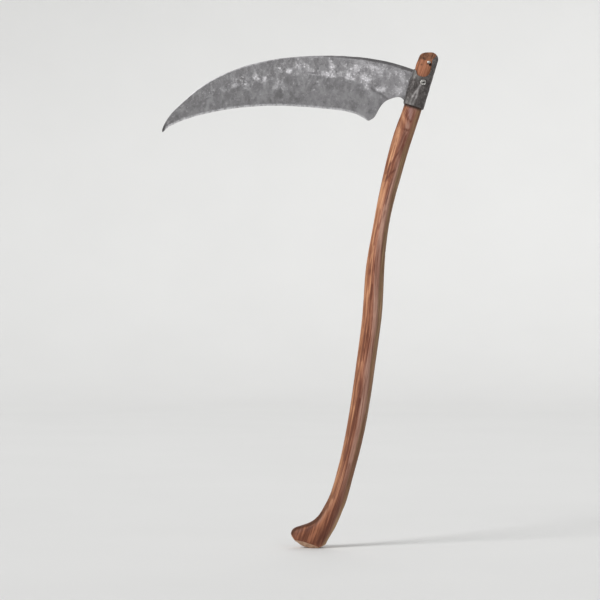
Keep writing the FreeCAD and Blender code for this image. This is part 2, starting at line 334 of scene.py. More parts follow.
def haft_coordinates(points):
    """Across, front-to-back and along the bent grain, and 0 at the left flank to 1 at the right."""
    heights, lefts, rights = haft_outline(points)
    middles = (lefts + rights) / 2
    z = points[:, 2]
    shaft = (heights >= GRAIN_LOW) & (heights <= GRAIN_HIGH)
    at, centre_line = heights[shaft], middles[shaft]
    wide = np.ones(15) / 15
    centre_line = np.convolve(np.pad(centre_line, 7, "reflect", reflect_type="odd"), wide, "valid")
    lean = np.gradient(centre_line, at)
    inside = np.clip(z, at[0], at[-1])
    slope = np.interp(inside, at, lean)
    centre = np.interp(inside, at, centre_line) + slope * (z - inside)
    cosine = 1.0 / np.sqrt(1.0 + slope ** 2)
    offset = points[:, 0] - centre
    steps = np.concatenate([[0.0], np.cumsum(np.hypot(np.diff(centre_line), np.diff(at)))])
    along = np.interp(inside, at, steps) + (z - inside) / cosine + offset * slope * cosine
    grain = np.column_stack([offset * cosine, points[:, 1], along])
    side = 1.0 - (np.interp(z, heights, rights) - points[:, 0]) * cosine / SHAFT_WIDTH
    return grain, np.clip(side, 0.0, 1.0)


def painted(points, strokes):
    """Soft strokes at points, in x and z."""
    wander = 1.1 * MM * np.column_stack([rough_noise(points, (6, 6, 16), seed, 2)
                                         for seed in (91, 95)])
    flat = points[:, [0, 2]] + wander
    total = np.zeros(len(points))
    for strength, width, *line in strokes:
        gap = distance_to_line(flat, np.array(line) * MM)
        total += strength * bell(gap, width * MM)
    return np.clip(total, -1.0, 1.0)


def curl_warp(grain, points):
    """Bends the grain round the curl under the socket."""
    eye = np.array([69, 409]) * MM
    reach = points[:, [0, 2]] - eye
    squared = reach[:, 0] ** 2 + (reach[:, 1] / 2.0) ** 2
    front = step_mm(2, -7, points[:, 1])
    pull = front * np.exp(-squared / (9 * MM) ** 2)
    warped = grain.copy()
    warped[:, 0] += pull * 3.5 * MM * np.sin(reach[:, 1] / (7.5 * MM))
    warped[:, 2] += pull * 9 * MM * np.cos(reach[:, 0] / (4.5 * MM))
    return warped


def carve_haft(points, grain, side, head, front):
    """How far each point moves out along its normal, and how deep the pits in the head are there."""
    z = points[:, 2]
    outside = 1 - step_mm(-3, 0.5, head[:, 2])
    carved = 0.28 * MM * rough_noise(grain, (7, 7, 85), 11, 2)
    carved += 0.10 * MM * cell_noise(grain, (3, 3, 30), 14)
    arris = ARRIS + 0.05 * cell_noise(grain, (60, 60, 70), 19)
    facet = bell(side - arris, 0.06) - 0.9 * bell(side - arris - 0.17, 0.10)
    carved += 0.40 * MM * facet * step_mm(-200, -160, z)
    knobbly = 0.22 * MM * rough_noise(points, 9, 21, 2) * step_mm(-170, -210, z)

    random = np.random.default_rng(5)
    chosen = random.choice(len(points), DENTS, replace=False)
    dents = dimples(points, points[chosen], random.uniform(2.0, 5.0, DENTS) * MM,
                    random.uniform(0.1, 0.35, DENTS) * MM)
    x, z, radius, depth = HEAD_PITS.T * MM
    pits = dimples(points * [1, 0, 1], np.column_stack([x, 0 * x, z]), radius, depth) * front
    return (carved + knobbly) * outside - dents - pits, pits


def sole_mark(points, normals):
    """1 on the sawn end grain under the butt, 0 elsewhere."""
    reach = np.sqrt(((points[:, [0, 2]] - SOLE_CENTRE) ** 2).sum(axis=1))
    down = -normals[:, 2] * 0.95 - normals[:, 0] * 0.3
    faces_down = smooth_step(0.50, 0.64, down) * smooth_step(SOLE_CUT, SOLE_CUT - 6 * MM, points[:, 2])
    past_arc = step_mm(-1.2, -0.4, reach - SOLE_RADIUS)
    past_arc *= smooth_step(SOLE_CUT - 4 * MM, SOLE_CUT - 10 * MM, points[:, 2])
    return np.maximum(faces_down, past_arc)


def make_haft():
    piece = remeshed_copy("haft", "haft_carved", 1.05 * MM, 4)
    mesh = piece.data
    points = read_points(mesh)
    normals = read_normals(mesh)
    grain, side = haft_coordinates(points)
    head = head_coordinates(points)
    front = step_mm(3, -4, points[:, 1])
    offset, pits = carve_haft(points, grain, side, head, front)
    points = points + normals * offset[:, None]
    write_points(mesh, points)

    z = points[:, 2]
    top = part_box("haft")[1].z
    figure = painted(points, FIGURE) + 1.3 * painted(points, CURL)
    write_vector(mesh, "grain", curl_warp(grain, points))
    write_marks(
        mesh,
        side=side + 0.10 * step_mm(300, 400, z),
        rear=step_mm(-7, 11, points[:, 1]),
        figure=np.clip(figure, -1.3, 1.3) * front,
        pits=np.clip(pits / PIT_FULL, 0, 1),
        mauve_eye=painted(points, MAUVE_EYE) * front,
        butt=smooth_step(BUTT_TOP, BUTT_FULL, z),
        # rim: surfaces facing up and to the left, which the wood darkens with painted shade
        rim=smooth_step(0.25, 0.75, 0.6 * normals[:, 2] - 0.8 * normals[:, 0]) * front,
        # painted shade: the haft darker towards the bottom, where the light falls off
        held=step_mm(100, -180, z),
        butt_end=sole_mark(points, normals),
        head=smooth_step(HEAD_BOTTOM, HEAD_BOTTOM + 10 * MM, z),
        head_end=smooth_step(top - 16 * MM, top - 13 * MM, z) * smooth_step(0.10, 0.22, normals[:, 2]),
        # painted shadow on the haft just under the socket
        socket_gap=step_mm(-6, -2.2, head[:, 2]) * step_mm(30, 20, head[:, 2]),
    )
    finish_piece(piece, "haft", oiled_wood())


# ---------------- blade

# Line between the blade's forged face and its ground bevel: x, z.
RIDGE = np.array([(-323, 398), (-300, 424), (-258, 449), (-200, 470), (-140, 482), (-80, 488),
                  (-45, 485), (-16, 480), (5, 468), (36, 452), (60, 443), (110, 436)]) * MM
BLADE_COLUMNS = 520
TANG_COLUMNS = 12
NECK_HEIGHT = 475 * MM         # columns keep their x at this height when they lean
ABOVE_BLADE = 600 * MM         # rays start from here, from below and from beside the blade
BELOW_BLADE = 300 * MM
BESIDE_BLADE = 50 * MM
RIB_ROWS = 7
FACE_ROWS = 26
BEVEL_ROWS = 34
HONED = 2.0 * MM               # width of the bright honed edge
THINNEST = 0.12 * MM           # least half thickness of the worn blade
HAMMER_MARKS = 330             # on each side
SCALE_PITS = 900               # on each side
MARKED_X = (-320 * MM, 80 * MM)    # the marks are scattered over this part
MARKED_Z = (400 * MM, 520 * MM)

# Patches where the forge scale has worn bright: x, z, half width, half height in
# millimetres, strength.
BRIGHT_PATCHES = [
    (-290, 419, 3, 3, 0.7), (-281, 430, 3, 3, 0.5), (-270, 442, 3, 3, 0.5), (-255, 443, 4, 3, 0.5),
    (-241, 440, 3, 3, 0.4), (-205, 473, 9, 6, 0.7), (-186, 473, 5, 8, 0.8), (-173, 486, 6, 6, 0.9),
    (-159, 480, 11, 6, 0.7), (-134, 497, 5, 5, 1.1), (-118, 495, 6, 4, 1.1), (-134, 474, 9, 9, 0.9),
    (-129, 510, 4, 8, 0.5), (-104, 507, 10, 8, 0.5), (-90, 500, 12, 12, 0.6), (-101, 478, 8, 7, 0.4),
    (-75, 470, 8, 12, 0.45), (-51, 501, 8, 12, 0.9), (-55, 489, 14, 4, 0.6), (-21, 487, 12, 8, 0.9),
    (-9, 500, 16, 10, 0.8), (3, 481, 8, 7, 1.2), (5, 466, 6, 10, 0.6), (22, 498, 12, 12, 0.7),
    (30, 464, 12, 6, 0.6), (46, 492, 12, 8, 0.6), (57, 463, 9, 7, 0.9), (62, 484, 8, 14, 0.5),
]
CREASE = np.array([(13, 467), (21, 461), (30, 456), (38, 451)]) * MM
RIDGE_GLEAM = np.array([(-86, 490), (-74, 488.5), (-63, 489.5), (-50, 486.5), (-38, 487),
                        (-27, 483.5), (-16, 481)]) * MM
# Nicks in the edge, in millimetres: x, depth, width.
NICKS = [(-316.0, 1.5, 1.5), (-311.5, 2.2, 1.9), (-307.0, 1.3, 1.5), (-302.0, 1.0, 1.2),
         (-296.5, 0.7, 1.1), (-287.0, 0.7, 1.3), (-268.0, 0.5, 1.1), (-224.0, 0.45, 1.2),
         (-171.0, 0.35, 1.0), (-97.0, 0.4, 1.0), (-36.0, 0.45, 1.2), (-12.0, 0.5, 1.0)]


class Sampler:
    """Casts rays at a CAD node's surface."""

    def __init__(self, node):
        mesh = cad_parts[node].data
        corners = [tuple(v.co) for v in mesh.vertices]
        faces = [tuple(p.vertices) for p in mesh.polygons]
        self.tree = BVHTree.FromPolygons(corners, faces)

    def hit(self, origin, direction):
        place = self.tree.ray_cast(Vector(origin), Vector(direction))[0]
        return None if place is None else np.array(place)


def blade_columns(sampler):
    """Each column's foot x, lean, and the heights of the spine and the edge where it crosses them."""
    corner_x, corner_z = from_head(-SOCKET_HALF_WIDTH, 0)
    face_x = corner_x + (NECK_HEIGHT - corner_z) * math.tan(HEAD_TILT)
    plate = np.linspace(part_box("blade")[0].x + 0.35 * MM, face_x - 0.3 * MM, BLADE_COLUMNS)
    tang_end = from_head(9 * MM, 30 * MM)[0] - 0.3 * MM
    tang = np.linspace(face_x + 1.4 * MM, tang_end, TANG_COLUMNS)
    feet = np.concatenate([plate, tang])
    lean = math.tan(HEAD_TILT) * step_mm(10, 70, feet)
    spans = []
    for x, slant in zip(feet, lean):
        up = np.array([slant, 0.0, 1.0])
        base = np.array([x - slant * NECK_HEIGHT, 0.0, 0.0])
        top = sampler.hit(base + up * ABOVE_BLADE, -up)
        foot = sampler.hit(base + up * BELOW_BLADE, up)
        spans.append((top[2], foot[2]))
    spans = np.array(spans)
    spans = np.insert(spans, BLADE_COLUMNS, spans[BLADE_COLUMNS - 1], axis=0)
    feet = np.insert(feet, BLADE_COLUMNS, face_x + 1.2 * MM)
    lean = np.insert(lean, BLADE_COLUMNS, math.tan(HEAD_TILT))
    return feet, lean, spans[:, 0], spans[:, 1]


def half_thickness(sampler, x, z, side):
    """Distance of the CAD's surface from the blade's middle plane, or None past its outline."""
    place = sampler.hit((x, side * BESIDE_BLADE, z), (0, -side, 0))
    return None if place is None else max(side * place[1], 0.0)


def worn_outline(feet, top, foot):
    """The outline with hammered unevenness along the spine and nicks along the edge."""
    line = np.column_stack([feet, feet * 0, feet * 0])
    body = step_mm(-322, -312, feet) * step_mm(70, 55, feet)
    top = top + 0.28 * MM * rough_noise(line, 17, 31, 3) * body
    foot = foot + 0.16 * MM * rough_noise(line, 11, 35, 3) * body
    for x, depth, width in NICKS:
        foot = foot + depth * MM * bell(feet - x * MM, width * MM)
    return top, foot


def rib_shares(sampler, feet, lean, top, foot):
    """Where the blade is thickest in each column, from 0 at the spine to 1 at the edge."""
    probe = np.linspace(0.004, 0.30, 40)
    shares = np.empty(len(feet))
    for k in range(len(feet)):
        z = top[k] + (foot[k] - top[k]) * probe
        x = feet[k] + lean[k] * (z - NECK_HEIGHT)
        found = [half_thickness(sampler, a, b, -1) or 0.0 for a, b in zip(x, z)]
        shares[k] = probe[int(np.argmax(found))]
    kernel = np.ones(25) / 25
    return np.convolve(np.pad(shares, 12, "edge"), kernel, "valid")


def blade_grid(sampler):
    """The blade's columns, its points' x and z, and its half thickness to the front and back.

    Rows run from the spine to the edge and columns from the tip to the tang.
    """
    feet, lean, top, foot = blade_columns(sampler)
    rows = RIB_ROWS + FACE_ROWS + BEVEL_ROWS + 1
    count = len(feet)
    heights = np.empty((rows, count))
    halves = np.empty((2, rows, count))
    ridge = np.interp(feet, RIDGE[:, 0], RIDGE[:, 1])
    rib_share = rib_shares(sampler, feet, lean, top, foot)
    for k in range(count):
        tall = top[k] - foot[k]
        rib = max(rib_share[k], 0.02) * tall
        ridge_depth = np.clip(top[k] - ridge[k], rib + 0.12 * tall, 0.80 * tall)
        drops = np.concatenate([
            np.linspace(0, rib, RIB_ROWS + 1)[:-1],
            np.linspace(rib, ridge_depth, FACE_ROWS + 1)[:-1],
            ridge_depth + (tall - ridge_depth) * np.linspace(0, 1, BEVEL_ROWS + 1) ** 0.85,
        ])
        heights[:, k] = top[k] - drops
        inner = top[k] - np.clip(drops, 0.004 * tall, 0.996 * tall)
        x = feet[k] + lean[k] * (inner - NECK_HEIGHT)
        for index, side in enumerate((-1, 1)):
            last = 0.3 * MM
            for row in range(rows):
                value = half_thickness(sampler, x[row], inner[row], side)
                last = last if value is None else value
                halves[index, row, k] = last
    top, foot = worn_outline(feet, top, foot)
    share = (heights - heights[-1]) / (heights[0] - heights[-1])
    heights = foot + share * (top - foot)
    xs = feet + lean * (heights - NECK_HEIGHT)
    return feet, xs, heights, halves


def scattered(random, flat, side, count, radii, depths):
    """Depth at flat of round hollows at random places on one side. Sizes are in millimetres."""
    places = np.column_stack([random.uniform(*MARKED_X, count), np.full(count, float(side)),
                              random.uniform(*MARKED_Z, count)])
    return dimples(flat, places, random.uniform(*radii, count) * MM, random.uniform(*depths, count) * MM)


def worn_sides(feet, xs, heights, halves, ground):
    """Half thickness of the front and the back, hammered, pitted and ground."""
    ridge = np.interp(xs, RIDGE[:, 0], RIDGE[:, 1])
    hidden = step_mm(72, 76, feet)[None, :] * np.ones((len(xs), 1))
    face = (1 - ground) * (1 - hidden)
    random = np.random.default_rng(17)
    sides = []
    for index, side in enumerate((-1, 1)):
        flat = np.column_stack([xs.ravel(), np.full(xs.size, side * 1.0), heights.ravel()])
        hammer = scattered(random, flat, side, HAMMER_MARKS, (5, 10), (0.08, 0.24)).reshape(xs.shape)
        pits = scattered(random, flat, side, SCALE_PITS, (0.9, 2.4), (0.04, 0.14)).reshape(xs.shape)
        uneven = 0.10 * MM * rough_noise(flat, 22, 40 + index, 3).reshape(xs.shape)
        thickness = halves[index] - hammer * face - pits * (0.25 + 0.75 * face) * (1 - hidden)
        thickness += uneven * (0.35 + 0.65 * face) * (1 - hidden)
        thickness += 0.10 * MM * bell(heights - ridge, 1.4 * MM) * (1 - hidden)
        honed_and_highlight = smooth_step(HONED, 0.0, heights - heights[-1]) * step_mm(16, 6, xs)
        thickness = thickness * (1 - 0.6 * honed_and_highlight)
        sides.append(np.maximum(thickness, np.minimum(halves[index], THINNEST)))
    return sides


def blade_marks(xs, heights, ground):
    """What places the steel's colours, by name: edge is a height above it, the rest run from 0."""
    plan = np.column_stack([xs.ravel(), heights.ravel()])
    level = np.column_stack([plan, plan[:, 0] * 0])
    wander = 1.6 * MM * np.column_stack([cell_noise(level, 9, seed) for seed in (81, 83)])
    bloom = np.zeros(len(plan))
    for x, z, wide, tall, strength in BRIGHT_PATCHES:
        away = (plan + wander - np.array([x, z]) * MM) / (np.array([wide, tall]) * MM)
        bloom += strength * np.exp(-(away ** 2).sum(axis=1))
    crease = bell(distance_to_line(plan + 0.4 * wander, CREASE), 2.4 * MM)
    gleam = bell(distance_to_line(plan + 0.6 * wander, RIDGE_GLEAM), 1.3 * MM)

    row_index = np.arange(len(xs))[:, None] * np.ones(xs.shape[1])
    # painted shade on the spine's top rows
    spine_shade = smooth_step(RIB_ROWS + 0.6, RIB_ROWS - 0.4, row_index)
    # a thin painted highlight line along the edge between the spine's top and the face
    highlight_depth = np.interp(xs / MM, (-140, -40, 70), (0.4, 4.0, 6.4)) * MM
    highlight_width = np.interp(xs / MM, (-300, 50), (0.9, 0.7)) * MM
    wear_and_highlight = bell(heights[0] - heights - highlight_depth, highlight_width)
    return {
        "ground": ground,
        "spine_shade": spine_shade * step_mm(-75, -15, xs),
        "edge": heights - heights[-1],
        "honed_and_highlight": step_mm(10, 2, xs),
        "tip": step_mm(-314, -321, xs),
        # bloom: the worn bright patches, plus a painted highlight along the ridge
        "bloom": bloom + 0.45 * gleam,
        "crease": crease,
        "wear_and_highlight": wear_and_highlight * step_mm(-160, -20, xs),
    }


def two_sided_mesh(name, xs, heights, sides):
    """A closed plate from a grid of points and its half thickness to the front and back."""
    front, back = sides
    points = np.concatenate([np.column_stack([xs.ravel(), y.ravel(), heights.ravel()])
                             for y in (-front, back)])
    cell = np.arange(xs.size).reshape(xs.shape)
    corners = [cell[:-1, :-1], cell[1:, :-1], cell[1:, 1:], cell[:-1, 1:]]
    quad = np.stack(corners, axis=-1).reshape(-1, 4)
    rim = np.concatenate([cell[0, ::-1], cell[1:, 0], cell[-1, 1:], cell[-2:0:-1, -1]])
    following = np.roll(rim, -1)
    around = np.column_stack([rim, rim + xs.size, following + xs.size, following])
    faces = np.concatenate([quad, quad[:, ::-1] + xs.size, around])
    mesh = bpy.data.meshes.new(name)
    mesh.from_pydata(points.tolist(), [], faces.tolist())
    mesh.update()
    return mesh


def make_blade():
    feet, xs, heights, halves = blade_grid(Sampler("blade"))
    ridge = np.interp(xs, RIDGE[:, 0], RIDGE[:, 1])
    ground = step_mm(3.0, -3.0, heights - ridge)
    sides = worn_sides(feet, xs, heights, halves, ground)
    mesh = two_sided_mesh("blade_forged", xs, heights, sides)
    marks = blade_marks(xs, heights, ground)
    write_marks(mesh, **{name: np.tile(values.ravel(), 2) for name, values in marks.items()})
    fix_normals(mesh)
    mesh.shade_smooth()
    finish_piece(add_object("blade_forged", mesh), "blade", forged_steel())


# ---------------- socket and fasteners

# Raised seams on the socket's front, in millimetres across and along the head.
SEAMS = [
    np.array([(3.0, 37.5), (0.8, 34), (-1.0, 27), (-3.8, 20), (-5.8, 13.5), (-6.4, 8), (-6.0, 1)]) * MM,
    np.array([(-1.0, 27), (-0.2, 20), (-0.3, 13), (-1.6, 8), (-2.2, 2)]) * MM,
]


def make_socket():
    piece = remeshed_copy("socket", "socket_forged", 0.45 * MM, 4)
    mesh = piece.data
    points = read_points(mesh)
    normals = read_normals(mesh)
    head = head_coordinates(points)
    outward = head * [1, 1, 0]
    outward /= np.sqrt((outward ** 2).sum(axis=1))[:, None] + 1e-9
    right = outward[:, :1] * HEAD_RIGHT
    world_out = np.column_stack([right[:, 0], outward[:, 1], right[:, 1]])
    outer = smooth_step(0.1, 0.6, (normals * world_out).sum(axis=1))

    hammered = 0.26 * MM * rough_noise(points, (6, 6, 8), 51, 2)
    fine = 0.07 * MM * rough_noise(points, 1.7, 55, 2)
    front = step_mm(0, -9, points[:, 1])
    seam = np.zeros(len(points))
    wander = 0.5 * MM * np.column_stack([cell_noise(points, 4, seed) for seed in (56, 57)])
    for line in SEAMS:
        gap = distance_to_line(head[:, [0, 2]] + wander, line)
        seam = np.maximum(seam, bell(gap, 1.5 * MM))
    seam *= front * outer * (0.72 + 0.40 * cell_noise(points, 3, 58))
    seam *= 1 - 0.45 * step_mm(15, 7, head[:, 2])
    at_neck = bell(np.abs(points[:, 1]) - 5.2 * MM, 2.2 * MM)
    at_neck *= step_mm(-14.5, -16.6, head[:, 0])
    at_neck *= step_mm(3, 8, head[:, 2]) * step_mm(57, 52, head[:, 2])
    offset = outer * (hammered + fine) + 0.30 * MM * seam + 0.7 * MM * at_neck * outer
    write_points(mesh, points + normals * offset[:, None])
    write_marks(mesh, across=head[:, 0], along=head[:, 2], seam=seam, neck=at_neck * outer,
                hollow=step_mm(-0.05, -0.35, hammered))
    finish_piece(piece, "socket", dark_iron())


def lathe_mesh(name, profile, across, along, segments=72, closed=False):
    """A round mesh about a front-to-back axis on the head. profile is (radius, y) in metres."""
    x, z = from_head(across, along)

    def place(radius, y, angle):
        return x + radius * math.cos(angle), y, z + radius * math.sin(angle)

    mesh = ring_mesh(name, profile, place, segments, closed)
    fix_normals(mesh, 0.0 if closed else 0.001 * MM)
    mesh.shade_smooth()
    return mesh


def rounded_profile(corners, spacing=0.16 * MM):
    """A dense profile with softened corners through (radius, y) corners in millimetres."""
    corners = np.array(corners) * MM
    lengths = np.hypot(*np.diff(corners, axis=0).T)
    reach = np.concatenate([[0], np.cumsum(lengths)])
    places = np.linspace(0, reach[-1], max(int(reach[-1] / spacing), 8))
    dense = np.column_stack([np.interp(places, reach, corners[:, axis]) for axis in (0, 1)])
    for _ in range(3):
        dense[1:-1] = (dense[:-2] + 2 * dense[1:-1] + dense[2:]) / 4
    return dense


def roughen(mesh, size, depth, seed):
    """Moves points along their normals by noise. size and depth are in millimetres."""
    points = read_points(mesh)
    offset = depth * MM * rough_noise(points, size, seed, 3)
    write_points(mesh, points + read_normals(mesh) * offset[:, None])


def make_rivet():
    """A rivet with a low round head behind and a hammered tail, slit by the hammer, in front."""
    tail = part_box("socket_rivet")[0].y / MM
    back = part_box("socket_rivet")[1].y / MM
    profile = rounded_profile([
        (0, tail + 1.1), (0.8, tail + 0.9), (1.5, tail + 0.2), (2.2, tail), (2.75, tail + 0.35),
        (2.6, tail + 1.0), (2.6, back - 3.4), (5.0, back - 2.5), (4.9, back - 1.9), (4.0, back - 1.0),
        (2.4, back - 0.3), (0, back)])
    mesh = lathe_mesh("rivet_peened", profile, RIVET_ACROSS, RIVET_ALONG)
    points = read_points(mesh)
    away = points[:, [0, 2]] - from_head(RIVET_ACROSS, RIVET_ALONG) - [0.5 * MM, 0]
    away = away / [2.6 * MM, 1.25 * MM]
    slot = np.exp(-((away ** 2).sum(axis=1)) ** 2) * step_mm(-8, -10, points[:, 1])
    points[:, 1] += 0.9 * MM * slot
    write_points(mesh, points)
    roughen(mesh, 1.3, 0.14, 61)
    # painted shade in the hammer's slot
    write_marks(mesh, cavity=np.clip(1.4 * slot, 0, 1))
    finish_piece(add_object("rivet_peened", mesh), "socket_rivet", worn_iron())


def make_rove():
    """The washer that the rivet's tail is hammered over, spread a little unevenly."""
    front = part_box("rivet_rove")[0].y / MM
    seat = front + 2.1
    ring = rounded_profile([
        (2.7, seat), (2.7, front + 0.7), (3.1, front + 0.2), (3.9, front), (4.7, front + 0.3),
        (5.15, front + 0.9), (5.2, seat), (2.7, seat)])[:-1]
    mesh = lathe_mesh("rove_hammered", ring, RIVET_ACROSS, RIVET_ALONG, closed=True)
    points = read_points(mesh)
    centre = from_head(RIVET_ACROSS, RIVET_ALONG)
    away = points[:, [0, 2]] - centre
    spread = step_mm(2.8, 4.6, np.sqrt((away ** 2).sum(axis=1)))
    points[:, 0] += away[:, 0] * np.where(away[:, 0] < 0, 0.14, -0.14) * spread
    points[:, 2] -= away[:, 1] * 0.14 * spread
    write_points(mesh, points)
    roughen(mesh, 1.9, 0.22, 66)
    points = read_points(mesh)
    away = points[:, [0, 2]] - centre
    sunk = step_mm(front + 0.30, front + 0.80, points[:, 1])
    # painted shade inside the rove and along its right side
    right_shade = step_mm(2.2, 3.6, away[:, 0])
    right_shade *= step_mm(2.0, 0.8, np.abs(away[:, 1]))
    write_marks(mesh, cavity=np.maximum(sunk, 0.7 * right_shade))
    finish_piece(add_object("rove_hammered", mesh), "rivet_rove", worn_iron())


# A nail from the middle of its head to its point, in millimetres: radius, depth.
NAIL_OUTLINE = [(0, 0), (1.2, 0.1), (2.1, 0.4), (2.8, 1.1), (2.9, 1.8), (1.5, 2.3), (1.4, 11.5),
                (0, 12.6)]


def make_nails():
    low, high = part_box("head_nails")
    work = bmesh.new()
    for side, surface, along, seed in ((-1, low.y, FRONT_NAIL_ALONG, 71), (1, high.y, BACK_NAIL_ALONG, 75)):
        profile = rounded_profile([(radius, surface / MM - side * depth) for radius, depth in NAIL_OUTLINE])
        mesh = lathe_mesh("nail", profile, NAIL_ACROSS, along, 56)
        points = read_points(mesh)
        head_part = step_mm(3.2, 2.2, np.abs(points[:, 1] - surface))
        points[:, 1] -= side * 0.26 * (points[:, 2] - from_head(NAIL_ACROSS, along)[1]) * head_part
        write_points(mesh, points)
        roughen(mesh, 1.5, 0.20, seed)
        work.from_mesh(mesh)
        bpy.data.meshes.remove(mesh)
    mesh = bpy.data.meshes.new("head_nails_forged")
    work.to_mesh(mesh)
    work.free()
    mesh.shade_smooth()
    points = read_points(mesh)
    in_front = points[:, 1] < 0
    depth = np.where(in_front, points[:, 1] - low.y, high.y - points[:, 1])
    centre = np.where(in_front, from_head(NAIL_ACROSS, FRONT_NAIL_ALONG)[1],
                      from_head(NAIL_ACROSS, BACK_NAIL_ALONG)[1])
    # painted shade on the sunk parts and on the lower half of each nail head
    lower = step_mm(0.6, -1.6, points[:, 2] - centre)
    write_marks(mesh, cavity=np.maximum(step_mm(1.0, 1.9, depth), 0.75 * lower))
    finish_piece(add_object("head_nails_forged", mesh), "head_nails", worn_iron())


def finish_wedge():
    """The wedge beside the tang keeps its CAD shape."""
    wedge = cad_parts["tang_wedge"]
    wedge.data.materials.clear()
    wedge.data.materials.append(dry_wood())


# ---------------- materials

def colour(red, green, blue):
    """A linear colour from 0-255 display values."""
    values = []
    for value in (red, green, blue):
        value /= 255
        values.append(value / 12.92 if value <= 0.04045 else ((value + 0.055) / 1.055) ** 2.4)
    return (*values, 1.0)


def is_socket(value):
    return isinstance(value, bpy.types.NodeSocket)


class Graph:
    """A material's nodes. Every call adds a node or a few and returns the last one's output.

    An input is another node's output or a plain value, and a colour is red, green and blue
    from 0 to 255.
    """

    def __init__(self, name):
        self.material = bpy.data.materials.new(name)
        self.material.use_nodes = True
        self.tree = self.material.node_tree
        self.tree.nodes.clear()

    def feed(self, socket, value):
        if is_socket(value):
            self.tree.links.new(value, socket)
        else:
            socket.default_value = value

    def node(self, kind, inputs, output=0, **settings):
        made = self.tree.nodes.new(kind)
        for key, value in settings.items():
            setattr(made, key, value)
        for key, value in inputs.items():
            self.feed(made.inputs[key], value)
        return made.outputs[output] if made.outputs else None

    def mark(self, name, output="Fac"):
        return self.node("ShaderNodeAttribute", {}, output, attribute_name=name)

    def marks(self, *names):
        return [self.mark(name) for name in names]

    def position(self):
        return self.node("ShaderNodeTexCoord", {}, "Object")

    def axis(self, letter):
        return self.node("ShaderNodeSeparateXYZ", {0: self.position()}, letter)

    def vector_math(self, operation, vector, other):
        return self.node("ShaderNodeVectorMath", {0: vector, 1: other}, operation=operation)

    def noise(self, vector, scale, detail, roughness=0.5, distortion=0.0, shift=None):
        """Noise with scale waves to a metre, or one number per axis, moved by shift."""
        if isinstance(scale, tuple):
            vector = self.vector_math("MULTIPLY", vector, scale)
            scale = 1.0
        if shift:
            vector = self.vector_math("ADD", vector, shift)
        inputs = {"Vector": vector, "Scale": scale, "Detail": detail, "Roughness": roughness,
                  "Distortion": distortion}
        return self.node("ShaderNodeTexNoise", inputs)

    def math(self, operation, a, b):
        return self.node("ShaderNodeMath", {0: a, 1: b}, operation=operation)

    def plus(self, a, b):
        return self.math("ADD", a, b)

    def minus(self, a, b):
        return self.math("SUBTRACT", a, b)

    def times(self, a, b):
        return self.math("MULTIPLY", a, b)

    def weighted(self, *terms):
        """The sum of values, each times its weight."""
        total = self.times(*terms[0])
        for term in terms[1:]:
            total = self.plus(total, self.times(*term))
        return total

    def spread(self, value, low, high, to_low=0.0, to_high=1.0):
        """Smoothly from to_low where value is low or less, to to_high where it is high or more."""
        inputs = {"Value": value, "From Min": low, "From Max": high, "To Min": to_low, "To Max": to_high}
        return self.node("ShaderNodeMapRange", inputs, interpolation_type="SMOOTHSTEP")

    def mix(self, factor, a, b):
        """From colour a where factor is 0 to colour b where it is 1."""
        made = self.tree.nodes.new("ShaderNodeMix")
        made.data_type = "RGBA"
        self.feed(made.inputs[0], factor)
        for socket, shade in ((made.inputs[6], a), (made.inputs[7], b)):
            self.feed(socket, shade if is_socket(shade) else colour(*shade))
        return made.outputs[2]

    def stain(self, base, *layers):
        """Base with layers over it, one after another: where, how strongly, which colour."""
        for mask, strength, shade in layers:
            base = self.mix(self.times(mask, strength), base, shade)
        return base

    def ramp(self, value, *stops):
        made = self.tree.nodes.new("ShaderNodeValToRGB")
        self.feed(made.inputs[0], value)
        elements = made.color_ramp.elements
        while len(elements) < len(stops):
            elements.new(0.5)
        for element, (place, shade) in zip(elements, stops):
            element.position = place
            element.color = colour(*shade)
        return made.outputs[0]

    def bump(self, height, depth, strength):
        """A normal for height, whose 1 stands depth millimetres proud."""
        inputs = {"Height": height, "Distance": depth * MM, "Strength": strength}
        return self.node("ShaderNodeBump", inputs)

    def surface(self, **inputs):
        names = [key.replace("_", " ").title().replace("Ior", "IOR") for key in inputs]
        shader = self.node("ShaderNodeBsdfPrincipled", dict(zip(names, inputs.values())))
        self.node("ShaderNodeOutputMaterial", {"Surface": shader})
        return self.material


